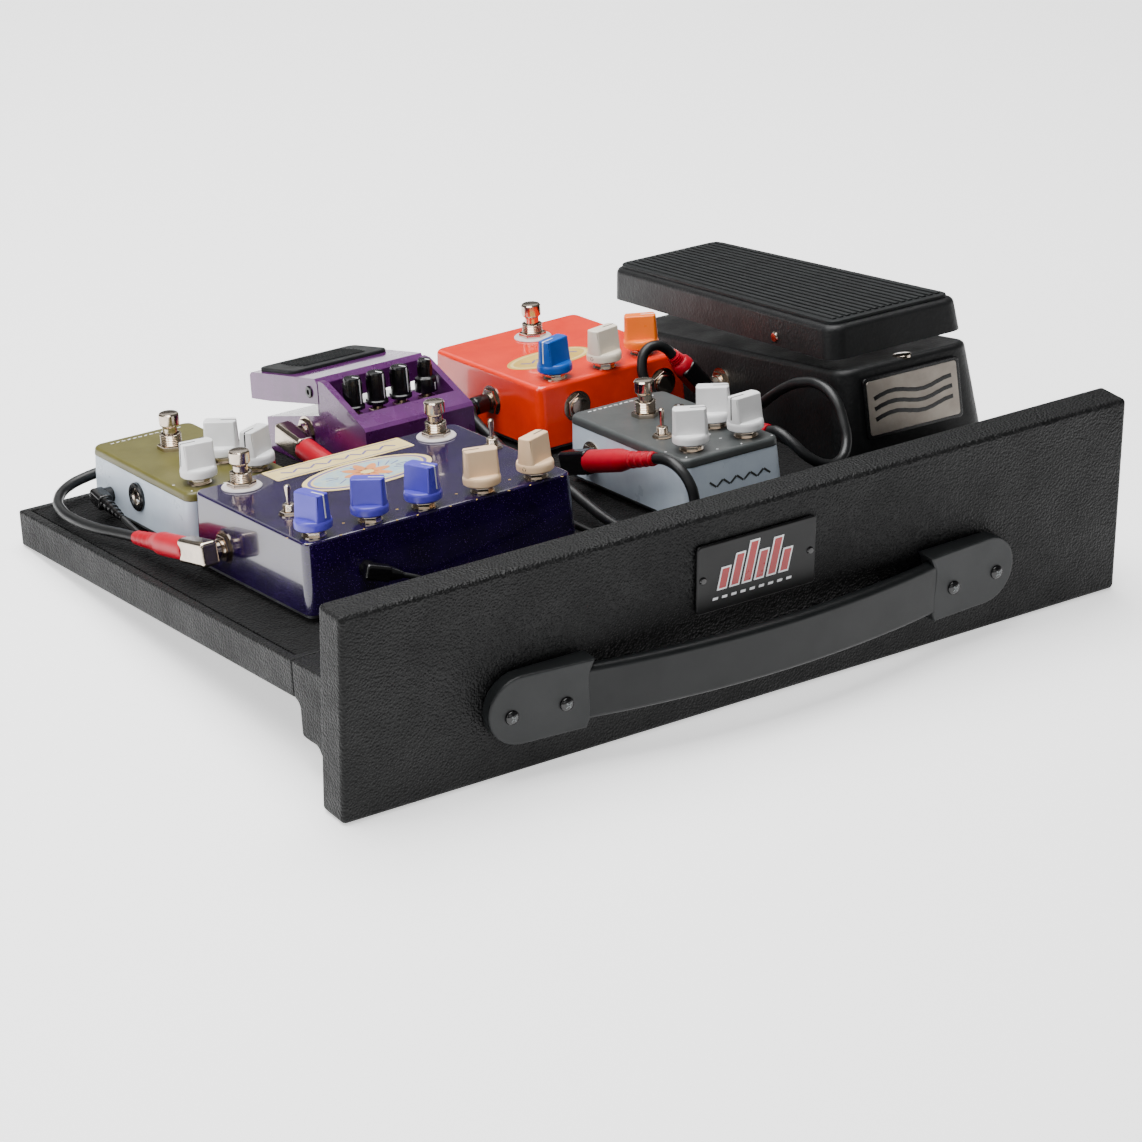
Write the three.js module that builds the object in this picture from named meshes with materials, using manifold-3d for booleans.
// A loaded pedalboard: an upright front panel with a strap handle, and behind it a carpeted deck that
// slopes down to the back. The deck carries four stomp boxes, a compact pedal with a treadle and a
// rocker pedal, which patch cords join. Millimetres, +Z up. +X runs along the front panel, +Y goes to
// the back, and the origin is the middle of the base, on the floor.
import * as THREE from "three";
import { mergeVertices } from "three/addons/utils/BufferGeometryUtils.js";
import Module from "manifold-3d";

const wasm = await Module();
wasm.setup();

// ---------------------------------------------------------------- driving dimensions

const GAP = 0.3; // clearance between two pieces that touch

// Front panel
const PANEL_WIDTH = 510;
const PANEL_HEIGHT = 118;
const PANEL_THICKNESS = 22;
const PANEL_EDGE_RADIUS = 3;
const PANEL_CORNER_RADIUS = 4;

// Deck, in its own frame: x along the panel, y to the back, z square to the deck, 0 on the carpet
const DECK_TILT = THREE.MathUtils.degToRad(7);
const DECK_LENGTH = 371;
const DECK_THICKNESS = 21.3;
const DECK_SIDE_INSET = 13.3; // from the panel's end to the deck's side
const CARPET_THICKNESS = 2.7;
const CARPET_RIM = 6; // wood left round the carpet
const BRACKET_LENGTH = 52;
const BRACKET_THICKNESS = 18;
const BRACKET_DEPTH = 46.7; // from the deck's surface to the bracket's lower edge

// Strap handle and name plate
const HANDLE_LENGTH = 344;
const HANDLE_HEIGHT_ON_PANEL = 42;
const CAP_LENGTH = 62;
const CAP_HEIGHT = 40;
const CAP_OUTER_THICKNESS = 8;
const CAP_INNER_THICKNESS = 13;
const GRIP_HEIGHT = 31;
const GRIP_THICKNESS = 8;
const GRIP_END_STANDOFF = 7.5; // panel face to the middle of the grip, at the caps
const GRIP_MID_STANDOFF = 20;
const GRIP_OVERLAP = 8; // how far the grip goes into each cap
const PLATE_WIDTH = 78;
const PLATE_HEIGHT = 40;
const PLATE_THICKNESS = 2;
const PLATE_HEIGHT_ON_PANEL = 82;

// Shared pedal hardware
const WALL = 2.4;
const COVER_THICKNESS = 1.5; // bottom covers
const STRIP_THICKNESS = 2.4; // hook strip glued under a cover
const STRIP_WIDTH = 25;
const BOX_DRAFT = 1.6; // how far a cast side leans in over its height
const KNOB_RADIUS = 10.5;
const KNOB_HEIGHT = 20;
const KNOB_SKIRT = 5.5;
const KNOB_BAR_WIDTH = 11;
const KNOB_STANDOFF = 4.2; // panel surface to the knob's underside
const SHAFT_RADIUS = 3;
const SHAFT_LENGTH = 11;
const RUNNING_CLEARANCE = 0.35;
const POT_NUT_RADIUS = 5.8;
const POT_NUT_HEIGHT = 2.6;
const SWITCH_NUT_RADIUS = 8.2;
const SWITCH_NUT_HEIGHT = 3;
const SWITCH_BUSHING_RADIUS = 6;
const SWITCH_BUSHING_HEIGHT = 8.5;
const PLUNGER_STEM_RADIUS = 4.3;
const PLUNGER_CAP_RADIUS = 5.9;
const PLUNGER_CAP_HEIGHT = 8;
const PLUNGER_TRAVEL = 2.5;
const PLUNGER_HEIGHT = 21.5; // top of the plunger above the panel surface
const TOGGLE_NUT_RADIUS = 5;
const TOGGLE_NUT_HEIGHT = 1.8;
const TOGGLE_BUSHING_RADIUS = 3.3;
const TOGGLE_BUSHING_HEIGHT = 6;
const TOGGLE_BORE_RADIUS = 2.3;
const TOGGLE_PIVOT_HEIGHT = 3.6;
const TOGGLE_LEVER_LENGTH = 13;
const JACK_NUT_RADIUS = 8;
const JACK_NUT_THICKNESS = 2.2;
const JACK_BUSHING_RADIUS = 5.4;
const JACK_STANDOFF = 4; // enclosure side to the end of the jack's bushing

// Plugs and cords
const PLUG_SHAFT_RADIUS = 3.1;
const PLUG_CLEARANCE = 0.5; // between a plug's shaft and the bore of its jack
const PLUG_SHAFT_LENGTH = 13;
const PLUG_COLLAR_RADIUS = 4.8;
const PLUG_COLLAR_LENGTH = 3;
const PLUG_HOUSING_THICKNESS = 11;
const PLUG_HOUSING_WIDTH = 14;
const PLUG_HOUSING_BACK = 7; // housing behind the shaft's axis
const PLUG_HOUSING_FRONT = 20; // housing ahead of the shaft's axis
const BOOT_RADIUS = 6.8;
const BOOT_NECK_RADIUS = 4.6;
const CORD_RADIUS = 3.1;
const CORD_STEP = 2; // diameters between the sections of a cord

// Stomp boxes: outside size, middle of the footprint on the deck, turn about the deck's normal
const DELAY = { width: 172.5, length: 124, height: 44.3, x: 132.3, y: 152.3, turn: 0.012 };
const DRIVE = { width: 66.9, length: 121.5, height: 37.5, x: 83, y: 285, turn: -0.007 };
const FUZZ = { width: 107.3, length: 115.6, height: 41.6, x: 341.7, y: 298, turn: 0.029 };
const BOOST = { width: 68, length: 119.2, height: 40, x: 313, y: 134.2, turn: -0.004 };

// Compact pedal with a treadle
const COMPACT = { width: 73, length: 118, x: 215.5, y: 250, turn: 0 };
const COMPACT_FRONT_HEIGHT = 40;
const COMPACT_CHEEK_HEIGHT = 57;
const COMPACT_CHEEK_END = 52; // where the cheeks stop and the treadle starts
const COMPACT_PIVOT_BACK = 11; // from there back to the hinge pin
const COMPACT_PIVOT_DROP = 9; // from the cheeks' top down to the hinge pin
const COMPACT_EAR_THICKNESS = 5;
const COMPACT_EAR_LENGTH = 10;
const COMPACT_JACK_Y = 70;
const COMPACT_JACK_Z = 22;
const COMPACT_KNOB_SHAFT = 9;
const COMPACT_WALL = 5;
const TREADLE_WALL = 2.6;
const COMPACT_WELL_FLOOR = 37.5;
const COMPACT_WELL_START = 14;
const COMPACT_CHEEK_THICKNESS = 4;
const COMPACT_BACK_HEIGHT = 20;
const TREADLE_OVERHANG = 18;
const TREADLE_SKIRT = 17;
const TREADLE_BACK_HEIGHT = 44;
const TREADLE_PAD_LENGTH = 43;
const TREADLE_PAD_INSET = 4;
const TREADLE_PAD_THICKNESS = 1.6;
const TREADLE_PAD_END = 5; // from the pad's back edge to the treadle's
const COMPACT_PIN_RADIUS = 2;
const COMPACT_KNOB_RADIUS = 6;
const COMPACT_KNOB_HEIGHT = 19;
const COMPACT_KNOB_Y = 32;
const COMPACT_KNOB_XS = [-25, -9.2, 6.8, 24.2];

// Rocker pedal
const ROCKER = { width: 98, length: 252, x: 459.9, y: 224, turn: -0.022 };
const ROCKER_TAPER = 0.15; // share by which the toe is wider than the heel
const ROCKER_TOE_HEIGHT = 56;
const ROCKER_HEEL_HEIGHT = 29;
const ROCKER_DRAFT = 6;
const ROCKER_CORNER = 12;
const ROCKER_WALL = 3.5;
const ROCKER_TREADLE_WIDTH = 89;
const ROCKER_TREADLE_LENGTH = 248;
const ROCKER_TREADLE_HEIGHT = 19.5;
const ROCKER_TREADLE_PITCH = 0.065; // toe up, against the deck
const ROCKER_TREADLE_CORNER = 10;
const ROCKER_TREADLE_DRAFT = 1.5;
const ROCKER_JACK_Y = 5;
const ROCKER_JACK_Z = 20;
const ROCKER_PIVOT_Y = -53; // from the middle of the base
const ROCKER_PIVOT_HEIGHT = 60.5;
const ROCKER_PIVOT_TO_TOE = 60; // along the treadle
const ROCKER_PIVOT_ABOVE_SKIRT = 4;
const ROCKER_EAR_THICKNESS = 5;
const ROCKER_EAR_LENGTH = 16;
const ROCKER_PIN_RADIUS = 3;
const TREAD_PAD_THICKNESS = 2.4;
const TREAD_PAD_INSET = 3.5;
const BADGE_WIDTH = 68;
const BADGE_HEIGHT = 36;
const BADGE_THICKNESS = 1.6;
const BADGE_Z = 31; // from the carpet to the badge's middle

// ---------------------------------------------------------------- shape helpers

const UP = new THREE.Vector3(0, 0, 1);

// A closed geometry as a solid that can be cut and joined.
function solid(geometry) {
  const bare = geometry.clone();
  bare.deleteAttribute("normal");
  bare.deleteAttribute("uv");
  const merged = mergeVertices(bare, 1e-4);
  const mesh = new wasm.Mesh({
    numProp: 3,
    vertProperties: merged.attributes.position.array,
    triVerts: new Uint32Array(merged.index.array),
  });
  return new wasm.Manifold(mesh);
}

function join(first, ...others) {
  return others.reduce((whole, other) => whole.add(solid(other)), first);
}

function cut(first, ...tools) {
  return tools.reduce((whole, tool) => whole.subtract(solid(tool)), first);
}

function geometryOf(body) {
  const mesh = body.getMesh();
  const geometry = new THREE.BufferGeometry();
  geometry.setAttribute("position", new THREE.BufferAttribute(mesh.vertProperties, 3));
  geometry.setIndex(new THREE.BufferAttribute(mesh.triVerts, 1));
  geometry.computeVertexNormals();
  return geometry;
}

// A named mesh with a material of its own.
function piece(name, shape, [color, roughness, metalness], position = [0, 0, 0]) {
  const geometry = shape.isBufferGeometry ? shape : geometryOf(shape);
  const material = new THREE.MeshStandardMaterial({ color, roughness, metalness });
  const mesh = new THREE.Mesh(geometry, material);
  mesh.name = name;
  mesh.position.set(...position);
  return mesh;
}

// A block with its low corner at (x, y, z).
function block(x, y, z, width, length, height) {
  const geometry = new THREE.BoxGeometry(width, length, height);
  return geometry.translate(x + width / 2, y + length / 2, z + height / 2);
}

// A round or, with few sides, a many-sided post that stands on z.
function post(radius, z, height, sides = 16, topRadius = radius) {
  const geometry = new THREE.CylinderGeometry(topRadius, radius, height, sides);
  return geometry.rotateX(Math.PI / 2).translate(0, 0, z + height / 2);
}

function turned(profile, sides = 16) {
  const points = profile.map(([radius, z]) => new THREE.Vector2(radius, z));
  return new THREE.LatheGeometry(points, sides).rotateX(Math.PI / 2);
}

// Turns what stands on +Z to stand along a direction.
function aimed(geometry, direction) {
  const turn = new THREE.Quaternion().setFromUnitVectors(UP, direction.clone().normalize());
  return geometry.applyQuaternion(turn);
}

function roundedRectangle(width, length, radius) {
  const shape = new THREE.Shape();
  const x = width / 2;
  const y = length / 2;
  shape.moveTo(-x + radius, -y);
  shape.lineTo(x - radius, -y);
  shape.absarc(x - radius, -y + radius, radius, -Math.PI / 2, 0);
  shape.lineTo(x, y - radius);
  shape.absarc(x - radius, y - radius, radius, 0, Math.PI / 2);
  shape.lineTo(-x + radius, y);
  shape.absarc(-x + radius, y - radius, radius, Math.PI / 2, Math.PI);
  shape.lineTo(-x, -y + radius);
  shape.absarc(-x + radius, -y + radius, radius, Math.PI, Math.PI * 1.5);
  return shape;
}

// An outline drawn up through levels, each at its own height and scale.
function lofted(shape, levels, curveSegments = 2) {
  const steps = levels.length - 1;
  const options = { depth: steps, steps, bevelEnabled: false, curveSegments };
  const geometry = new THREE.ExtrudeGeometry(shape, options);
  const points = geometry.attributes.position;
  for (let i = 0; i < points.count; i += 1) {
    const level = levels[Math.round(points.getZ(i))];
    points.setXYZ(i, points.getX(i) * level.sx, points.getY(i) * level.sy, level.z);
  }
  return geometry;
}

// A box with rounded corners, sides that lean in by the draft, and a rounded top edge.
function castBox(width, length, height, corner, draft, edge, base = 0) {
  const edgeSteps = 2;
  const level = (z, inset) => ({ z, sx: 1 - (2 * inset) / width, sy: 1 - (2 * inset) / length });
  const levels = [level(base, 0), level(height - edge, draft)];
  for (let i = 1; i <= edgeSteps; i += 1) {
    const angle = (i / edgeSteps) * (Math.PI / 2);
    const inset = draft + edge * (1 - Math.cos(angle));
    levels.push(level(height - edge + edge * Math.sin(angle), inset));
  }
  return lofted(roundedRectangle(width, length, corner), levels);
}

function plateOf(shape, low, high, curveSegments = 3) {
  const options = { depth: high - low, bevelEnabled: false, curveSegments };
  return new THREE.ExtrudeGeometry(shape, options).translate(0, 0, low);
}

// A side profile of (y, z) points, extruded along x about the middle.
function acrossX(points, width) {
  const shape = new THREE.Shape(points.map(([y, z]) => new THREE.Vector2(y, z)));
  return profileAcrossX(shape, width);
}

function profileAcrossX(shape, width, curveSegments = 6) {
  const options = { depth: width, bevelEnabled: false, curveSegments };
  const geometry = new THREE.ExtrudeGeometry(shape, options).translate(0, 0, -width / 2);
  const axes = new THREE.Matrix4().makeBasis(
    new THREE.Vector3(0, 1, 0),
    new THREE.Vector3(0, 0, 1),
    new THREE.Vector3(1, 0, 0),
  );
  return geometry.applyMatrix4(axes);
}

// ---------------------------------------------------------------- finishes: colour, roughness, metalness

const VINYL = [0x15181a, 0.75, 0];
const CARPET = [0x0c0d0e, 1, 0];
const CAP_PLASTIC = [0x373a3a, 0.45, 0];
const GRIP_PLASTIC = [0x212425, 0.4, 0];
const PLATE_ENAMEL = [0x101112, 0.3, 0.2];
const PURPLE = [0x1e0546, 0.12, 0.1];
const OLIVE = [0x706c41, 0.5, 0.1];
const ORANGE = [0xeb3c0a, 0.2, 0.1];
const GREY = [0x555858, 0.5, 0.1];
const VIOLET = [0x69286e, 0.25, 0.3];
const COVER_METAL = [0x9a9c9e, 0.4, 0.9];
const NICKEL = [0xc8c2b8, 0.15, 1];
const KNOB_BLUE = [0x5a5abe, 0.35, 0];
const KNOB_CREAM = [0xf0cdaa, 0.35, 0];
const KNOB_WHITE = [0xe8e6e2, 0.35, 0];
const KNOB_CYAN = [0x0a5aaf, 0.35, 0];
const KNOB_ORANGE = [0xff8214, 0.35, 0];
const KNOB_BLACK = [0x0e0e10, 0.3, 0];
const RUBBER = [0x121314, 0.85, 0];
const WRINKLE_BLACK = [0x1c1e1e, 0.6, 0.3];
const BADGE_METAL = [0x8c8a86, 0.35, 0.9];
const BOOT_RED = [0xd70f3c, 0.4, 0];
const CORD_BLACK = [0x141516, 0.6, 0];

// ---------------------------------------------------------------- front panel and handle

const board = new THREE.Group();

function frontPanel() {
  const bevel = PANEL_EDGE_RADIUS;
  const width = PANEL_WIDTH - 2 * bevel;
  const height = PANEL_HEIGHT - 2 * bevel;
  const shape = roundedRectangle(width, height, PANEL_CORNER_RADIUS - bevel);
  const geometry = new THREE.ExtrudeGeometry(shape, {
    depth: PANEL_THICKNESS - 2 * bevel,
    bevelSize: bevel,
    bevelThickness: bevel,
    bevelSegments: 3,
    curveSegments: 3,
  });
  geometry.rotateX(Math.PI / 2);
  return geometry.translate(PANEL_WIDTH / 2, PANEL_THICKNESS - bevel, PANEL_HEIGHT / 2);
}

// The grip's centre line seen from above: straight out of one cap, bowed, and into the other.
function gripLine(extra) {
  const half = HANDLE_LENGTH / 2 - CAP_LENGTH + GRIP_OVERLAP;
  const rise = GRIP_MID_STANDOFF - GRIP_END_STANDOFF;
  const points = [];
  const spans = 8;
  for (let i = 0; i <= spans; i += 1) {
    const share = (i / spans) * 2 - 1;
    const bow = Math.cos((share * Math.PI) / 2) ** 0.8;
    points.push(new THREE.Vector3(share * (half + extra), -GRIP_END_STANDOFF - rise * bow, 0));
  }
  return new THREE.CatmullRomCurve3(points);
}

// ExtrudeGeometry lays the section's first axis on the vertical here, and its second across the path.
function gripSolid(clearance, extra) {
  const tall = GRIP_HEIGHT + 2 * clearance;
  const thick = GRIP_THICKNESS + 2 * clearance;
  const section = roundedRectangle(tall, thick, thick * 0.4);
  const options = { steps: 16, curveSegments: 1, extrudePath: gripLine(extra) };
  return new THREE.ExtrudeGeometry(section, options);
}

function capOutline(inset) {
  const inner = CAP_LENGTH / 2 - inset;
  const radius = CAP_HEIGHT / 2 - inset;
  const centre = -CAP_LENGTH / 2 + CAP_HEIGHT / 2;
  const shape = new THREE.Shape();
  shape.moveTo(centre, -radius);
  shape.lineTo(inner - 4, -radius);
  shape.bezierCurveTo(inner + 3, -radius * 0.4, inner - 8, radius * 0.4, inner, radius);
  shape.lineTo(centre, radius);
  shape.absarc(centre, 0, radius, Math.PI / 2, Math.PI * 1.5);
  return shape;
}

// A moulded cap, thin at the outer end and thicker where the grip goes in.
function handleCap() {
  const bevel = 1.6;
  const options = {
    depth: CAP_INNER_THICKNESS - 2 * bevel,
    bevelSize: bevel,
    bevelThickness: bevel,
    bevelSegments: 2,
    curveSegments: 8,
  };
  const geometry = new THREE.ExtrudeGeometry(capOutline(bevel), options).translate(0, 0, bevel);
  const points = geometry.attributes.position;
  for (let i = 0; i < points.count; i += 1) {
    const along = THREE.MathUtils.clamp(points.getX(i) / CAP_LENGTH + 0.5, 0, 1);
    const thickness = THREE.MathUtils.lerp(CAP_OUTER_THICKNESS, CAP_INNER_THICKNESS, along);
    points.setZ(i, (points.getZ(i) * thickness) / CAP_INNER_THICKNESS);
  }
  geometry.rotateX(Math.PI / 2).translate(0, -GAP, 0);
  const toGrip = HANDLE_LENGTH / 2 - CAP_LENGTH / 2;
  const pocket = gripSolid(GAP, GAP).translate(toGrip, 0, 0);
  return cut(solid(geometry), pocket);
}

function namePlate() {
  const bevel = 0.6;
  const width = PLATE_WIDTH - 2 * bevel;
  const height = PLATE_HEIGHT - 2 * bevel;
  const plate = new THREE.ExtrudeGeometry(roundedRectangle(width, height, 2), {
    depth: PLATE_THICKNESS - 2 * bevel,
    bevelSize: bevel,
    bevelThickness: bevel,
    bevelSegments: 1,
    curveSegments: 2,
  });
  plate.rotateX(Math.PI / 2).translate(0, -GAP - bevel, 0);
  const rivets = [-1, 1].map((side) => {
    const head = aimed(post(1.8, 0, 1.2, 8, 1), new THREE.Vector3(0, -1, 0));
    return head.translate(side * (PLATE_WIDTH / 2 - 4), -GAP - PLATE_THICKNESS + 0.2, 0);
  });
  return join(solid(plate), ...rivets);
}

function addFront() {
  const middle = PANEL_WIDTH / 2;
  const capX = HANDLE_LENGTH / 2 - CAP_LENGTH / 2;
  board.add(piece("front_panel", frontPanel(), VINYL));
  const grip = solid(gripSolid(0, 0));
  board.add(piece("handle_grip", grip, GRIP_PLASTIC, [middle, 0, HANDLE_HEIGHT_ON_PANEL]));
  const cap = handleCap();
  const left = piece("handle_end_left", cap, CAP_PLASTIC, [middle - capX, 0, HANDLE_HEIGHT_ON_PANEL]);
  const right = piece("handle_end_right", cap, CAP_PLASTIC, [middle + capX, 0, HANDLE_HEIGHT_ON_PANEL]);
  right.scale.x = -1;
  board.add(left, right);
  board.add(piece("name_plate", namePlate(), PLATE_ENAMEL, [middle, 0, PLATE_HEIGHT_ON_PANEL]));
}

// ---------------------------------------------------------------- deck

// The deck's surface meets the panel at this height, so that its back lower edge is on the floor.
const DECK_FRONT_HEIGHT = DECK_LENGTH * Math.sin(DECK_TILT) + DECK_THICKNESS * Math.cos(DECK_TILT);

const deck = new THREE.Group();
deck.position.set(0, PANEL_THICKNESS, DECK_FRONT_HEIGHT);
deck.rotation.x = -DECK_TILT;
deck.updateMatrix();
board.add(deck);

const DECK_LEFT = DECK_SIDE_INSET;
const DECK_RIGHT = PANEL_WIDTH - DECK_SIDE_INSET;

// The space of the upright panel, in the deck's frame, with its clearance.
function panelSpace() {
  const spare = 60;
  const width = PANEL_WIDTH + 2 * spare;
  const height = PANEL_HEIGHT + 2 * spare;
  const space = block(-spare, -spare, -spare, width, PANEL_THICKNESS + spare + GAP, height);
  return space.applyMatrix4(deck.matrix.clone().invert());
}

// The deck's outline, drawn in all round by an inset, with a notch for each bracket.
function deckOutline(inset) {
  const left = DECK_LEFT + inset;
  const right = DECK_RIGHT - inset;
  const notch = BRACKET_THICKNESS + GAP;
  const notchEnd = BRACKET_LENGTH + GAP + inset;
  const front = -BRACKET_LENGTH / 4;
  const corners = [
    [left + notch, front],
    [right - notch, front],
    [right - notch, notchEnd],
    [right, notchEnd],
    [right, DECK_LENGTH - inset],
    [left, DECK_LENGTH - inset],
    [left, notchEnd],
    [left + notch, notchEnd],
  ];
  return new THREE.Shape(corners.map(([x, y]) => new THREE.Vector2(x, y)));
}

function deckBoard() {
  const slab = plateOf(deckOutline(0), -DECK_THICKNESS, 0);
  const recess = plateOf(deckOutline(CARPET_RIM - GAP), -CARPET_THICKNESS - GAP, 1);
  return cut(solid(slab), recess, panelSpace());
}

function deckCarpet() {
  return cut(solid(plateOf(deckOutline(CARPET_RIM), -CARPET_THICKNESS, 0)), panelSpace());
}

// A bracket between the panel and the deck's side, with an ogee under its back end.
function bracket() {
  const shelf = -0.86 * BRACKET_DEPTH;
  const lip = -0.9 * BRACKET_DEPTH;
  const shape = new THREE.Shape();
  shape.moveTo(-BRACKET_LENGTH / 4, 0);
  shape.lineTo(-BRACKET_LENGTH / 4, -BRACKET_DEPTH);
  shape.lineTo(BRACKET_LENGTH - 24, -BRACKET_DEPTH);
  shape.quadraticCurveTo(BRACKET_LENGTH - 22, lip, BRACKET_LENGTH - 18, lip);
  shape.quadraticCurveTo(BRACKET_LENGTH - 5.5, lip, BRACKET_LENGTH - 5, shelf);
  shape.lineTo(BRACKET_LENGTH - 5, -DECK_THICKNESS - 4);
  shape.quadraticCurveTo(BRACKET_LENGTH - 4.5, -DECK_THICKNESS - 1, BRACKET_LENGTH, -DECK_THICKNESS);
  shape.lineTo(BRACKET_LENGTH, 0);
  const panel = panelSpace().translate(-PANEL_WIDTH / 2, 0, 0);
  return cut(solid(profileAcrossX(shape, BRACKET_THICKNESS, 4)), panel);
}

function addDeck() {
  deck.add(piece("deck_board", deckBoard(), VINYL));
  deck.add(piece("deck_carpet", deckCarpet(), CARPET));
  const half = BRACKET_THICKNESS / 2;
  deck.add(piece("left_bracket", bracket(), VINYL, [DECK_LEFT + half, 0, 0]));
  deck.add(piece("right_bracket", bracket(), VINYL, [DECK_RIGHT - half, 0, 0]));
}

// ---------------------------------------------------------------- controls

// A push-on knob: round skirt, flat-sided bar, and the shaft that it turns. z is 0 at its underside.
function barKnob() {
  const body = solid(post(KNOB_RADIUS, 0, KNOB_HEIGHT, 24, KNOB_RADIUS * 0.93));
  const lean = 0.1;
  const sides = [-1, 1].map((side) => {
    const tool = block(0, -KNOB_RADIUS * 1.2, 0, KNOB_RADIUS, KNOB_RADIUS * 2.4, KNOB_HEIGHT);
    tool.translate(KNOB_BAR_WIDTH / 2, 0, 0);
    tool.rotateY(-lean);
    tool.translate(0, 0, KNOB_SKIRT);
    return side > 0 ? tool : tool.rotateZ(Math.PI);
  });
  return join(cut(body, ...sides), post(SHAFT_RADIUS, -SHAFT_LENGTH, SHAFT_LENGTH + 1, 12));
}

function footswitchPlunger() {
  const capBase = PLUNGER_HEIGHT - PLUNGER_CAP_HEIGHT;
  const stemBase = -WALL - PLUNGER_TRAVEL;
  return turned([
    [0, stemBase],
    [PLUNGER_STEM_RADIUS, stemBase],
    [PLUNGER_STEM_RADIUS, capBase],
    [PLUNGER_CAP_RADIUS, capBase + 1.5],
    [PLUNGER_CAP_RADIUS, PLUNGER_HEIGHT - 0.8],
    [PLUNGER_CAP_RADIUS - 0.8, PLUNGER_HEIGHT],
    [0, PLUNGER_HEIGHT],
  ]);
}

// A bat lever about its pivot, which is at z = 0.
function toggleLever() {
  const ball = TOGGLE_BORE_RADIUS - RUNNING_CLEARANCE;
  return turned(
    [
      [0, -2.6],
      [1, -2.6],
      [ball, 0],
      [1, 2.2],
      [1.7, TOGGLE_LEVER_LENGTH - 1],
      [1.1, TOGGLE_LEVER_LENGTH],
      [0, TOGGLE_LEVER_LENGTH],
    ],
    12,
  );
}

// What a control adds to an enclosure at its hole, and the hole itself.
const SEATS = {
  knob: {
    add: () => [post(POT_NUT_RADIUS, -1, POT_NUT_HEIGHT + 1, 6)],
    bore: () => post(SHAFT_RADIUS + RUNNING_CLEARANCE, -2 * WALL, 3 * WALL + POT_NUT_HEIGHT, 12),
  },
  footswitch: {
    add: () => [
      post(SWITCH_NUT_RADIUS, -1, SWITCH_NUT_HEIGHT + 1, 6),
      post(SWITCH_BUSHING_RADIUS, -1, SWITCH_BUSHING_HEIGHT + 1),
    ],
    bore: () => post(PLUNGER_STEM_RADIUS + RUNNING_CLEARANCE, -2 * WALL, 3 * WALL + SWITCH_BUSHING_HEIGHT),
  },
  toggle: {
    add: () => [
      post(TOGGLE_NUT_RADIUS, -1, TOGGLE_NUT_HEIGHT + 1, 6),
      post(TOGGLE_BUSHING_RADIUS, -1, TOGGLE_BUSHING_HEIGHT + 1, 12),
    ],
    bore: () => post(TOGGLE_BORE_RADIUS, -2 * WALL, 3 * WALL + TOGGLE_BUSHING_HEIGHT, 12),
  },
};

// A jack through a side wall: nut and bushing outside, bore through the wall.
function jackSeat({ at, facing }) {
  const parts = [
    post(JACK_NUT_RADIUS, -1.5, JACK_NUT_THICKNESS + 1.5, 6),
    post(JACK_BUSHING_RADIUS, -1.5, JACK_STANDOFF + 1.5, 16),
  ];
  return parts.map((part) => aimed(part, facing).translate(at.x, at.y, at.z));
}

// A plug's bore runs through a jack and the wall behind it, past the end of the plug's shaft.
function jackBore({ at, facing }) {
  const depth = PLUG_SHAFT_LENGTH + 1;
  const bore = post(PLUG_SHAFT_RADIUS + PLUG_CLEARANCE, -depth, depth + JACK_STANDOFF + 1, 12);
  return aimed(bore, facing).translate(at.x, at.y, at.z);
}

// Adds each jack to a body, and bores those that take a plug.
function withJacks(body, jacks) {
  const seated = join(body, ...jacks.flatMap(jackSeat));
  return cut(seated, ...jacks.filter((jack) => jack.plugged).map(jackBore));
}

const sideways = (side) => new THREE.Vector3(side, 0, 0);

// ---------------------------------------------------------------- stomp boxes

const COVER_TOP = GAP + STRIP_THICKNESS + COVER_THICKNESS;

// A jack on the left (-1) or right (1) side of a box, y from its middle and z above the carpet.
function sideJack(size, side, y, z, plugged = false) {
  const lean = (BOX_DRAFT * (z - COVER_TOP)) / size.height;
  return { at: new THREE.Vector3(side * (size.width / 2 - lean), y, z), facing: sideways(side), plugged };
}

function enclosure(size, controls, jacks) {
  const corner = 5;
  const base = COVER_TOP + GAP;
  const outer = castBox(size.width, size.length, size.height, corner, BOX_DRAFT, 2, base);
  const inner = castBox(
    size.width - 2 * WALL,
    size.length - 2 * WALL,
    size.height - WALL,
    corner - WALL,
    BOX_DRAFT,
    0.6,
    base - 1,
  );
  let body = cut(solid(outer), inner);
  for (const control of controls) {
    const place = (part) => part.translate(control.x, control.y, size.height);
    body = join(body, ...SEATS[control.kind].add().map(place));
    body = cut(body, place(SEATS[control.kind].bore()));
  }
  return withJacks(body, jacks);
}

// A bottom cover with two hook strips that hold the box on the carpet.
function bottomCover(size) {
  const outline = roundedRectangle(size.width - 1, size.length - 1, 4);
  const cover = plateOf(outline, COVER_TOP - COVER_THICKNESS, COVER_TOP, 2);
  const length = size.length * 0.86;
  const strips = [-1, 1].map((side) => {
    const x = side * (size.width / 2 - STRIP_WIDTH / 2 - 4) - STRIP_WIDTH / 2;
    return block(x, -length / 2, GAP, STRIP_WIDTH, length, STRIP_THICKNESS + 0.5);
  });
  return join(solid(cover), ...strips);
}

function addControl(group, prefix, size, control) {
  const { kind, x, y } = control;
  const shapes = { knob: barKnob, footswitch: footswitchPlunger, toggle: toggleLever };
  const lifts = { knob: KNOB_STANDOFF, footswitch: 0, toggle: TOGGLE_PIVOT_HEIGHT };
  const place = [x, y, size.height + lifts[kind]];
  const mesh = piece(`${prefix}_${control.name}`, shapes[kind](), control.finish ?? NICKEL, place);
  mesh.rotation.z = control.turn ?? 0;
  group.add(mesh);
}

// Adds a whole stomp box to the deck and returns its group and jacks.
function addStompBox(prefix, size, finish, controls, jacks) {
  const group = new THREE.Group();
  group.position.set(size.x, size.y, 0);
  group.rotation.z = size.turn;
  group.updateMatrix();
  group.add(piece(`${prefix}_enclosure`, enclosure(size, controls, Object.values(jacks)), finish));
  group.add(piece(`${prefix}_bottom_cover`, bottomCover(size), COVER_METAL));
  controls.forEach((control) => addControl(group, prefix, size, control));
  deck.add(group);
  return { group, jacks };
}

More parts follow.
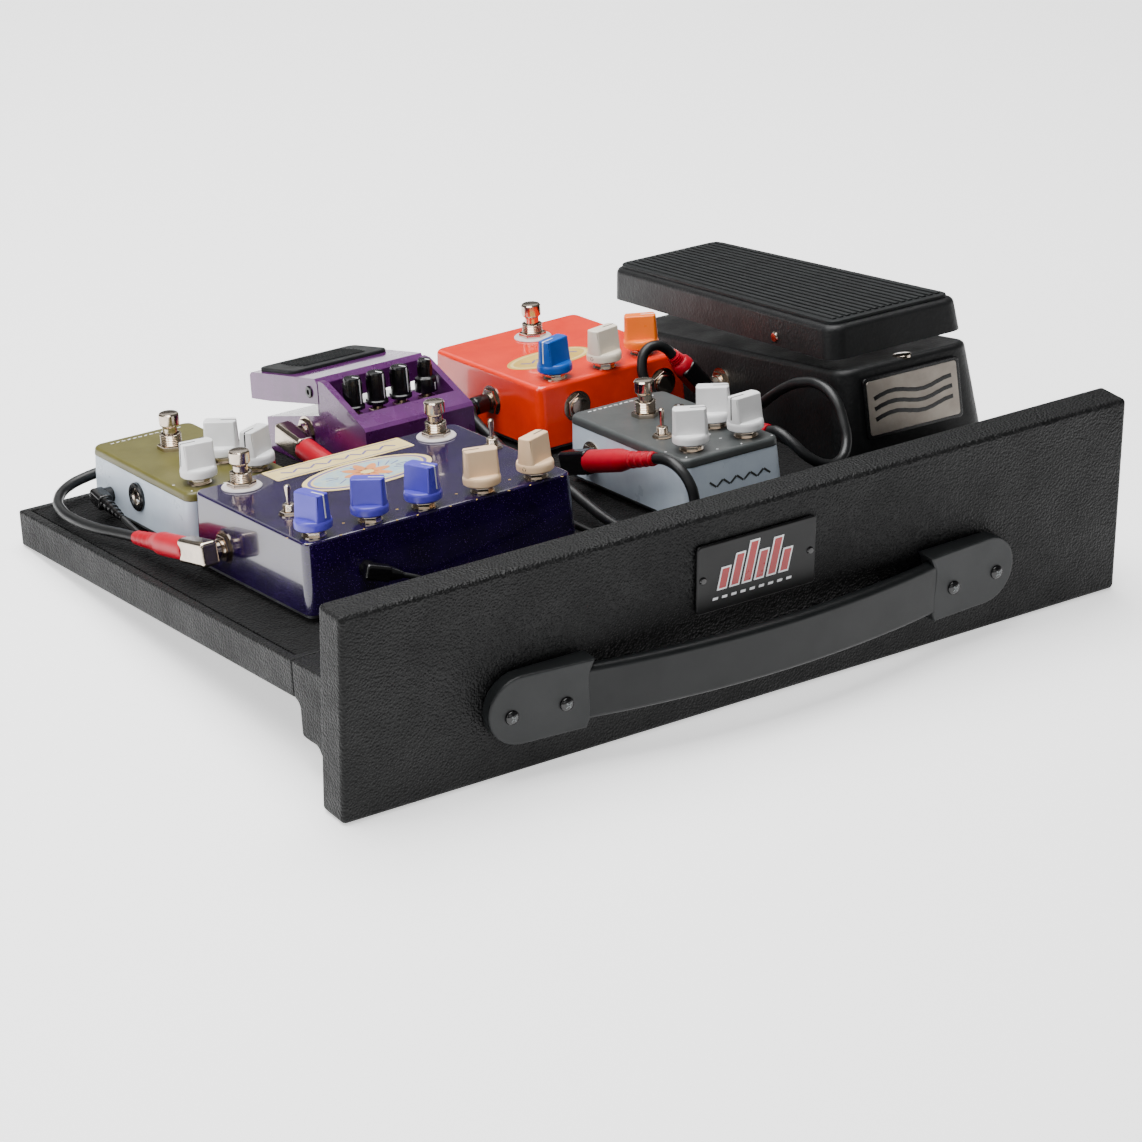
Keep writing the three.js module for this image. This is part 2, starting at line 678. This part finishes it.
function addDelay() {
  const controls = [
    { kind: "knob", name: "knob_1", x: -73, y: -50, turn: 0.26, finish: KNOB_BLUE },
    { kind: "knob", name: "knob_2", x: -38.3, y: -50.5, turn: 0.85, finish: KNOB_BLUE },
    { kind: "knob", name: "knob_3", x: -5.3, y: -51.5, turn: 0.35, finish: KNOB_BLUE },
    { kind: "knob", name: "knob_4", x: 31.7, y: -52.5, turn: -1.9, finish: KNOB_CREAM },
    { kind: "knob", name: "knob_5", x: 66, y: -53, turn: 1.95, finish: KNOB_CREAM },
    { kind: "footswitch", name: "footswitch_left", x: -61.6, y: 47.1 },
    { kind: "footswitch", name: "footswitch_right", x: 63.8, y: 45.5 },
    { kind: "toggle", name: "toggle_left", x: -65.6, y: -11.4 },
    { kind: "toggle", name: "toggle_right", x: 76, y: 6 },
  ];
  const jacks = { left: sideJack(DELAY, -1, 28, 20, true), right: sideJack(DELAY, 1, 28, 20) };
  return addStompBox("delay", DELAY, PURPLE, controls, jacks);
}

function addDrive() {
  const controls = [
    { kind: "knob", name: "knob_1", x: -17.2, y: -45, turn: -1.7, finish: KNOB_WHITE },
    { kind: "knob", name: "knob_2", x: 11.4, y: -20, turn: 0.9, finish: KNOB_WHITE },
    { kind: "knob", name: "knob_3", x: 18.7, y: -46.6, turn: -1.1, finish: KNOB_WHITE },
    { kind: "footswitch", name: "footswitch", x: 0, y: 21 },
  ];
  const jacks = { left: sideJack(DRIVE, -1, 3, 20.5), right: sideJack(DRIVE, 1, 3, 20.5) };
  return addStompBox("drive", DRIVE, OLIVE, controls, jacks);
}

function addFuzz() {
  const controls = [
    { kind: "knob", name: "knob_1", x: -33, y: -45.5, turn: -1.3, finish: KNOB_CYAN },
    { kind: "knob", name: "knob_2", x: 0.3, y: -49, turn: 1.75, finish: KNOB_WHITE },
    { kind: "knob", name: "knob_3", x: 31.3, y: -43.5, turn: 1, finish: KNOB_ORANGE },
    { kind: "footswitch", name: "footswitch", x: 4.1, y: 32 },
  ];
  const jacks = { left: sideJack(FUZZ, -1, -6, 23) };
  return addStompBox("fuzz", FUZZ, ORANGE, controls, jacks);
}

function addBoost() {
  const controls = [
    { kind: "knob", name: "knob_1", x: -17.5, y: -43.8, turn: 1, finish: KNOB_WHITE },
    { kind: "knob", name: "knob_2", x: 18.7, y: -45.2, turn: -1.5, finish: KNOB_WHITE },
    { kind: "knob", name: "knob_3", x: 15.4, y: -19.2, turn: 0.9, finish: KNOB_WHITE },
    { kind: "footswitch", name: "footswitch", x: -2, y: 24.4 },
    { kind: "toggle", name: "toggle", x: -17, y: -14.7 },
  ];
  const jacks = { left: sideJack(BOOST, -1, 34.8, 19.5, true), right: sideJack(BOOST, 1, 34.8, 19.5, true) };
  return addStompBox("boost", BOOST, GREY, controls, jacks);
}

// ---------------------------------------------------------------- compact pedal
// Its frame has y = 0 at the front edge. The treadle pivots at the back end of the cheeks.

const COMPACT_PIVOT_Y = COMPACT_CHEEK_END + COMPACT_PIVOT_BACK;
const COMPACT_PIVOT_Z = COMPACT_CHEEK_HEIGHT - COMPACT_PIVOT_DROP;
const TREADLE_START = COMPACT_CHEEK_END + 1;
const TREADLE_END = COMPACT.length + TREADLE_OVERHANG;
const TREADLE_TOP = COMPACT_CHEEK_HEIGHT + 0.5;

// The bore of a hinge pin that runs along x through a pivot.
function pinBore(width, radius, y, z) {
  return aimed(post(radius + GAP, -width / 2 - 1, width + 2, 12), sideways(1)).translate(0, y, z);
}

function compactOuter() {
  const outline = [
    [0, GAP],
    [COMPACT.length, GAP],
    [COMPACT.length, COMPACT_BACK_HEIGHT],
    [COMPACT_CHEEK_END, COMPACT_FRONT_HEIGHT - 4],
    [COMPACT_CHEEK_END, COMPACT_CHEEK_HEIGHT],
    [COMPACT_CHEEK_END - 6, COMPACT_CHEEK_HEIGHT],
    [2, COMPACT_FRONT_HEIGHT],
    [0, COMPACT_FRONT_HEIGHT - 2],
  ];
  return solid(acrossX(outline, COMPACT.width));
}

// The well between the cheeks that the knobs stand in, open at its back and top.
function compactWell() {
  const width = COMPACT.width - 2 * COMPACT_CHEEK_THICKNESS;
  const length = COMPACT_CHEEK_END + 1 - COMPACT_WELL_START;
  return block(-width / 2, COMPACT_WELL_START, COMPACT_WELL_FLOOR, width, length, COMPACT_CHEEK_HEIGHT);
}

function compactCavity() {
  const outline = [
    [COMPACT_WALL, -1],
    [COMPACT.length - COMPACT_WALL, -1],
    [COMPACT.length - COMPACT_WALL, COMPACT_BACK_HEIGHT - COMPACT_WALL],
    [COMPACT_CHEEK_END, COMPACT_FRONT_HEIGHT - 4 - COMPACT_WALL],
    [COMPACT_WALL, COMPACT_FRONT_HEIGHT - 4 - COMPACT_WALL],
  ];
  return acrossX(outline, COMPACT.width - 2 * COMPACT_WALL);
}

// The two ears that hold the hinge pin inside the treadle.
function compactEars() {
  const thickness = COMPACT_EAR_THICKNESS;
  const base = COMPACT_BACK_HEIGHT - 2;
  const height = COMPACT_PIVOT_Z + COMPACT_PIN_RADIUS + 1 - base;
  const y = COMPACT_PIVOT_Y - COMPACT_EAR_LENGTH / 2;
  return [-1, 1].map((side) => {
    const x = side * (COMPACT.width / 2 - COMPACT_WALL - thickness) - thickness / 2;
    return block(x, y, base, thickness, COMPACT_EAR_LENGTH, height);
  });
}

function compactBase(jacks) {
  let body = cut(compactOuter(), compactWell(), compactCavity());
  body = join(body, ...compactEars());
  body = cut(body, pinBore(COMPACT.width, COMPACT_PIN_RADIUS, COMPACT_PIVOT_Y, COMPACT_PIVOT_Z));
  for (const x of COMPACT_KNOB_XS) {
    const depth = COMPACT_KNOB_SHAFT + 1;
    const bore = post(SHAFT_RADIUS + RUNNING_CLEARANCE, COMPACT_WELL_FLOOR - depth, depth + 1, 12);
    body = cut(body, bore.translate(x, COMPACT_KNOB_Y, 0));
  }
  return withJacks(body, jacks);
}

// The treadle's top slopes down from the cheeks to its back edge.
const TREADLE_SLOPE = Math.atan2(TREADLE_TOP - TREADLE_BACK_HEIGHT, TREADLE_END - 2 - (TREADLE_START + 3));

// The rubber pad's block, sunk a little into the treadle's top so that the two join.
function treadlePad() {
  const sunk = 0.5;
  const outline = roundedRectangle(COMPACT.width - 2 * TREADLE_PAD_INSET, TREADLE_PAD_LENGTH, 5);
  const y = TREADLE_END - TREADLE_PAD_END - TREADLE_PAD_LENGTH / 2;
  const z = TREADLE_BACK_HEIGHT + (TREADLE_END - 2 - y) * Math.tan(TREADLE_SLOPE);
  return plateOf(outline, -sunk, TREADLE_PAD_THICKNESS).rotateX(-TREADLE_SLOPE).translate(0, y, z);
}

// A hollow treadle with its rubber pad, over the back of the base. Its origin is the pivot.
function compactTreadle() {
  const frontBottom = COMPACT_FRONT_HEIGHT + 2.5;
  const backBottom = TREADLE_BACK_HEIGHT - TREADLE_SKIRT;
  const outline = [
    [TREADLE_START, frontBottom],
    [COMPACT.length - 4, backBottom + 3.5],
    [TREADLE_END, backBottom],
    [TREADLE_END, TREADLE_BACK_HEIGHT - 2],
    [TREADLE_END - 2, TREADLE_BACK_HEIGHT],
    [TREADLE_START + 3, TREADLE_TOP],
    [TREADLE_START, TREADLE_TOP - 3],
  ];
  const hollow = [
    [TREADLE_START + TREADLE_WALL, 0],
    [TREADLE_END - TREADLE_WALL, 0],
    [TREADLE_END - TREADLE_WALL, TREADLE_BACK_HEIGHT - TREADLE_WALL - 1.5],
    [TREADLE_START + TREADLE_WALL, TREADLE_TOP - TREADLE_WALL - 0.5],
  ];
  const inside = acrossX(hollow, COMPACT.width - 2 * TREADLE_WALL);
  const shell = join(cut(solid(acrossX(outline, COMPACT.width)), inside), treadlePad());
  const bore = pinBore(COMPACT.width, COMPACT_PIN_RADIUS, COMPACT_PIVOT_Y, COMPACT_PIVOT_Z);
  return cut(shell, bore).translate([0, -COMPACT_PIVOT_Y, -COMPACT_PIVOT_Z]);
}

// A small knob with its shaft, which shows between the well's floor and the knob.
function compactKnob() {
  const underside = 5;
  return turned(
    [
      [0, -COMPACT_KNOB_SHAFT],
      [SHAFT_RADIUS, -COMPACT_KNOB_SHAFT],
      [SHAFT_RADIUS, underside],
      [COMPACT_KNOB_RADIUS, underside],
      [COMPACT_KNOB_RADIUS * 0.92, underside + COMPACT_KNOB_HEIGHT - 1],
      [COMPACT_KNOB_RADIUS * 0.8, underside + COMPACT_KNOB_HEIGHT],
      [0, underside + COMPACT_KNOB_HEIGHT],
    ],
    14,
  );
}

function addCompact() {
  const group = new THREE.Group();
  group.position.set(COMPACT.x, COMPACT.y, 0);
  group.rotation.z = COMPACT.turn;
  group.updateMatrix();
  const half = COMPACT.width / 2;
  const jackPlace = new THREE.Vector3(-half, COMPACT_JACK_Y, COMPACT_JACK_Z);
  const jacks = { left: { at: jackPlace, facing: sideways(-1), plugged: true } };
  const pivot = [0, COMPACT_PIVOT_Y, COMPACT_PIVOT_Z];
  group.add(piece("compact_base", compactBase(Object.values(jacks)), VIOLET));
  group.add(piece("compact_treadle", compactTreadle(), VIOLET, pivot));
  COMPACT_KNOB_XS.forEach((x, i) => {
    const place = [x, COMPACT_KNOB_Y, COMPACT_WELL_FLOOR + GAP];
    group.add(piece(`compact_knob_${i + 1}`, solid(compactKnob()), KNOB_BLACK, place));
  });
  const pin = aimed(post(COMPACT_PIN_RADIUS, -half + GAP, COMPACT.width - 2 * GAP, 12), sideways(1));
  group.add(piece("compact_hinge_pin", solid(pin), NICKEL, pivot));
  deck.add(group);
  return { group, jacks };
}

// ---------------------------------------------------------------- rocker pedal
// Its frame has the origin in the middle of the base, toe at -y.

// Makes a shape wider towards the toe and narrower towards the heel.
function taperedToHeel(geometry) {
  const points = geometry.attributes.position;
  for (let i = 0; i < points.count; i += 1) {
    const scale = 1 - (ROCKER_TAPER * points.getY(i)) / ROCKER.length;
    points.setX(i, points.getX(i) * scale);
  }
  return geometry;
}

function rockerTop(y) {
  const share = (y + ROCKER.length / 2) / ROCKER.length;
  return THREE.MathUtils.lerp(ROCKER_TOE_HEIGHT, ROCKER_HEEL_HEIGHT, share);
}

// What lies above the base's sloping top, less an amount that the slope is lowered by.
function aboveSlope(lower) {
  const half = ROCKER.length / 2 + 1;
  const profile = [
    [-half, rockerTop(-half) - lower],
    [half, rockerTop(half) - lower],
    [half, ROCKER_TOE_HEIGHT * 2],
    [-half, ROCKER_TOE_HEIGHT * 2],
  ];
  return acrossX(profile, ROCKER.width * (1 + ROCKER_TAPER));
}

const ROCKER_EAR_X = 22; // middle of each ear that the base raises to the pin
const ROCKER_LUG_X = ROCKER_EAR_X + ROCKER_EAR_THICKNESS + 1;

function rockerBase(jacks) {
  const { width, length } = ROCKER;
  const height = ROCKER_TOE_HEIGHT + 4;
  const wall = ROCKER_WALL;
  const innerWidth = width - 2 * wall;
  const innerLength = length - 2 * wall;
  const innerCorner = ROCKER_CORNER - wall;
  const outer = castBox(width, length, height, ROCKER_CORNER, ROCKER_DRAFT, 2, GAP);
  const inner = castBox(innerWidth, innerLength, height, innerCorner, ROCKER_DRAFT, 2, GAP - 1);
  const hollow = cut(solid(taperedToHeel(inner)), aboveSlope(wall));
  let body = cut(solid(taperedToHeel(outer)), aboveSlope(0)).subtract(hollow);
  const base = rockerTop(ROCKER_PIVOT_Y) - 3;
  const rise = ROCKER_PIVOT_HEIGHT + ROCKER_PIN_RADIUS + 3 - base;
  const y = ROCKER_PIVOT_Y - ROCKER_EAR_LENGTH / 2;
  const ears = [-1, 1].map((side) => {
    const x = side * ROCKER_EAR_X - ROCKER_EAR_THICKNESS / 2;
    return block(x, y, base, ROCKER_EAR_THICKNESS, ROCKER_EAR_LENGTH, rise);
  });
  body = join(body, ...ears);
  body = cut(body, pinBore(width, ROCKER_PIN_RADIUS, ROCKER_PIVOT_Y, ROCKER_PIVOT_HEIGHT));
  return withJacks(body, jacks);
}

// A hollow treadle with two lugs inside that hang on the pin. Its origin is the pivot, unpitched.
function rockerTreadle() {
  const width = ROCKER_TREADLE_WIDTH;
  const length = ROCKER_TREADLE_LENGTH;
  const height = ROCKER_TREADLE_HEIGHT;
  const wall = ROCKER_WALL;
  const innerWidth = width - 2 * wall;
  const innerLength = length - 2 * wall;
  const innerCorner = ROCKER_TREADLE_CORNER - wall;
  const outer = castBox(width, length, height, ROCKER_TREADLE_CORNER, ROCKER_TREADLE_DRAFT, 3);
  const inner = castBox(innerWidth, innerLength, height - wall, innerCorner, ROCKER_TREADLE_DRAFT, 1, -1);
  const pivotY = -length / 2 + ROCKER_PIVOT_TO_TOE;
  const pivotZ = ROCKER_PIVOT_ABOVE_SKIRT;
  const low = pivotZ - ROCKER_PIN_RADIUS - 2.5;
  const y = pivotY - ROCKER_EAR_LENGTH / 2;
  const lugs = [-1, 1].map((side) => {
    const x = side * ROCKER_LUG_X - ROCKER_EAR_THICKNESS / 2;
    return block(x, y, low, ROCKER_EAR_THICKNESS, ROCKER_EAR_LENGTH, height - low - 1);
  });
  const shell = join(cut(solid(taperedToHeel(outer)), taperedToHeel(inner)), ...lugs);
  const bore = pinBore(width, ROCKER_PIN_RADIUS, pivotY, pivotZ);
  return cut(shell, bore).translate([0, -pivotY, -pivotZ]);
}

function addRocker() {
  const group = new THREE.Group();
  group.position.set(ROCKER.x, ROCKER.y, 0);
  group.rotation.z = ROCKER.turn;
  group.updateMatrix();
  const lean = (ROCKER_DRAFT * ROCKER_JACK_Z) / (ROCKER_TOE_HEIGHT + 4);
  const half = (ROCKER.width / 2) * (1 - (ROCKER_TAPER * ROCKER_JACK_Y) / ROCKER.length);
  const jackPlace = new THREE.Vector3(lean - half, ROCKER_JACK_Y, ROCKER_JACK_Z);
  const jacks = { left: { at: jackPlace, facing: sideways(-1), plugged: true } };
  group.add(piece("rocker_base", rockerBase(Object.values(jacks)), WRINKLE_BLACK));

  const pivot = new THREE.Group();
  pivot.position.set(0, ROCKER_PIVOT_Y, ROCKER_PIVOT_HEIGHT);
  pivot.rotation.x = -ROCKER_TREADLE_PITCH;
  pivot.add(piece("rocker_treadle", rockerTreadle(), WRINKLE_BLACK));
  const padInset = ROCKER_TREADLE_DRAFT + TREAD_PAD_INSET;
  const padWidth = ROCKER_TREADLE_WIDTH - 2 * padInset;
  const padLength = ROCKER_TREADLE_LENGTH - 2 * padInset;
  const padOutline = roundedRectangle(padWidth, padLength, ROCKER_TREADLE_CORNER - 3);
  const pad = taperedToHeel(plateOf(padOutline, 0, TREAD_PAD_THICKNESS));
  const padY = ROCKER_TREADLE_LENGTH / 2 - ROCKER_PIVOT_TO_TOE;
  const padZ = ROCKER_TREADLE_HEIGHT - ROCKER_PIVOT_ABOVE_SKIRT + GAP;
  pivot.add(piece("rocker_tread_pad", solid(pad), RUBBER, [0, padY, padZ]));
  group.add(pivot);

  const pinLength = 2 * (ROCKER_LUG_X + ROCKER_EAR_THICKNESS);
  const pin = aimed(post(ROCKER_PIN_RADIUS, -pinLength / 2, pinLength, 12), sideways(1));
  group.add(piece("rocker_pivot_pin", solid(pin), NICKEL, [0, ROCKER_PIVOT_Y, ROCKER_PIVOT_HEIGHT]));

  const badge = plateOf(roundedRectangle(BADGE_WIDTH, BADGE_HEIGHT, 2), 0, BADGE_THICKNESS);
  const toeLean = ROCKER_DRAFT / (ROCKER_TOE_HEIGHT + 2);
  badge.rotateX(Math.PI / 2 - Math.atan(toeLean));
  const face = -ROCKER.length / 2 + toeLean * BADGE_Z;
  group.add(piece("rocker_badge", solid(badge), BADGE_METAL, [0, face - GAP - 0.2, BADGE_Z]));
  deck.add(group);
  return { group, jacks };
}

// ---------------------------------------------------------------- plugs and cords

// A right-angle plug in a jack. The boot points along a direction in the deck's frame.
function plug(name, owner, jack, boot, length) {
  const turn = new THREE.Matrix4().extractRotation(owner.group.matrix);
  const at = jack.at.clone().applyMatrix4(owner.group.matrix);
  const out = jack.facing.clone().applyMatrix4(turn);
  const way = new THREE.Vector3(...boot).normalize();
  const start = JACK_STANDOFF + GAP;
  const middle = start + PLUG_COLLAR_LENGTH + PLUG_HOUSING_THICKNESS / 2;
  const shaft = aimed(post(PLUG_SHAFT_RADIUS, -PLUG_SHAFT_LENGTH, start + PLUG_SHAFT_LENGTH + 1, 12), out);
  const collar = aimed(post(PLUG_COLLAR_RADIUS, start, PLUG_COLLAR_LENGTH + 1, 12), out);
  const shoulder = PLUG_HOUSING_FRONT - 2;
  const neck = shoulder + (length - shoulder) * 0.5;
  const neckEnd = shoulder + (length - shoulder) * 0.62;
  const sleeve = turned(
    [
      [0, 0],
      [BOOT_RADIUS - 1.5, 0],
      [BOOT_RADIUS - 1.5, shoulder],
      [BOOT_RADIUS, shoulder],
      [BOOT_RADIUS, neck],
      [BOOT_NECK_RADIUS, neckEnd],
      [BOOT_NECK_RADIUS, length],
      [0, length],
    ],
    12,
  );
  const centre = out.clone().multiplyScalar(middle);
  const bootPart = aimed(sleeve, way).translate(centre.x, centre.y, centre.z);
  const across = new THREE.Vector3().crossVectors(way, out).normalize();
  const flat = new THREE.Vector3().crossVectors(way, across);
  const housing = block(
    -PLUG_HOUSING_BACK,
    -PLUG_HOUSING_WIDTH / 2,
    -PLUG_HOUSING_THICKNESS / 2,
    PLUG_HOUSING_BACK + PLUG_HOUSING_FRONT,
    PLUG_HOUSING_WIDTH,
    PLUG_HOUSING_THICKNESS,
  );
  housing.applyMatrix4(new THREE.Matrix4().makeBasis(way, across, flat));
  housing.translate(centre.x, centre.y, centre.z);
  const body = join(solid(housing), shaft, collar, bootPart);
  deck.add(piece(name, body, BOOT_RED, at.toArray()));
}

// A cord along chosen points, which start and end a clearance away from a boot or a bushing.
function cord(name, points) {
  const line = new THREE.CatmullRomCurve3(points.map((point) => new THREE.Vector3(...point)));
  const steps = Math.ceil(line.getLength() / (CORD_STEP * 2 * CORD_RADIUS));
  const section = new THREE.Shape();
  section.absarc(0, 0, CORD_RADIUS, 0, Math.PI * 2);
  const options = { steps, curveSegments: 5, extrudePath: line };
  deck.add(piece(name, solid(new THREE.ExtrudeGeometry(section, options)), CORD_BLACK));
}

// ---------------------------------------------------------------- the whole object

addFront();
addDeck();
const delay = addDelay();
const drive = addDrive();
const fuzz = addFuzz();
const boost = addBoost();
const compact = addCompact();
const rocker = addRocker();

plug("delay_output_plug", delay, delay.jacks.left, [-0.03, 0.988, -0.14], 78);
plug("compact_output_plug", compact, compact.jacks.left, [0.03, -0.98, -0.17], 72);
plug("boost_output_plug", boost, boost.jacks.left, [0.03, -0.965, 0.255], 84);
plug("boost_input_plug", boost, boost.jacks.right, [-0.02, -0.97, 0.2], 66);
plug("rocker_output_plug", rocker, rocker.jacks.left, [-0.62, 0.1, 0.78], 30);

// From the delay's output round the drive box to the drive's input.
cord("delay_to_drive_cord", [
  [31.1, 257.2, 9],
  [28.3, 271, 8.3],
  [23, 289, 8],
  [20.3, 310, 8],
  [21.6, 330, 8.5],
  [28, 346.5, 9.5],
  [40, 357.5, 11.5],
  [55, 361, 13.5],
  [72, 361, 15],
  [92, 360.5, 16.5],
  [112, 358.5, 17.5],
  [128, 351, 18.5],
  [138, 338, 19.5],
  [142, 320, 20.2],
  [141.5, 304, 20.5],
  [136.5, 293.5, 20.5],
  [128.5, 288.6, 20.5],
  [120.3, 287.8, 20.5],
]);

// From the boost's output down in front of it and back to the delay's input.
cord("boost_to_delay_cord", [
  [269.3, 87.4, 41.2],
  [269.6, 78, 42.8],
  [270.5, 68.5, 41],
  [272.5, 61, 34],
  [273.5, 57.5, 24],
  [272.5, 57, 14],
  [268, 58.5, 7.5],
  [259, 63, 4.6],
  [251, 73, 4.2],
  [247, 88, 4.6],
  [246, 106, 7],
  [246.5, 125, 10.5],
  [247, 146, 15],
  [246, 162, 18.3],
  [241, 174, 19.7],
  [232, 180.2, 20],
  [222.3, 181.3, 20],
]);

// From the compact pedal's output, between it and the delay, to the fuzz.
cord("compact_to_fuzz_cord", [
  [168.5, 248.3, 9.5],
  [169.7, 240, 8],
  [173.2, 231, 6],
  [181, 225.6, 4.6],
  [192, 224, 4],
  [210, 223.8, 3.8],
  [228, 224, 3.8],
  [245, 225, 4],
  [257.5, 229.5, 5.2],
  [264.5, 240, 8],
  [266, 255, 13],
  [266, 269, 18],
  [268.2, 280.5, 21.5],
  [275, 288.4, 22.9],
  [284, 290.1, 23],
]);

// From the rocker pedal's output, over, down and forward in a standing loop to the boost's input.
cord("rocker_to_boost_cord", [
  [381.3, 233.35, 43.8],
  [377.3, 234.2, 48.6],
  [371, 235, 51.6],
  [364, 235.4, 49.8],
  [359.8, 234, 43],
  [360, 232, 33],
  [364, 228, 23],
  [372, 221, 14],
  [382, 210, 8.6],
  [389, 196, 8],
  [392, 181, 13],
  [393.5, 168, 22.5],
  [395, 155, 32.5],
  [397, 142, 41],
  [399, 128, 47],
  [401, 112, 48.5],
  [401.5, 100, 43.5],
  [400.5, 91, 32],
  [397, 84, 20.5],
  [388, 78.5, 14.5],
  [376, 76, 15.5],
  [366.5, 79, 21.5],
  [360.5, 86.5, 30],
  [358.4, 95.5, 34.2],
  [358.1, 103.6, 33],
]);

// The origin is the middle of the base of all the pieces but the plugs and cords.
const onCords = /_(plug|cord)$/;
const extent = new THREE.Box3();
board.updateMatrixWorld(true);
board.traverse((part) => {
  if (part.isMesh && !onCords.test(part.name)) {
    extent.expandByObject(part, true);
  }
});
board.position.set(-(extent.min.x + extent.max.x) / 2, -(extent.min.y + extent.max.y) / 2, -extent.min.z);

const pedalboard = new THREE.Group();
pedalboard.add(board);
export default pedalboard;
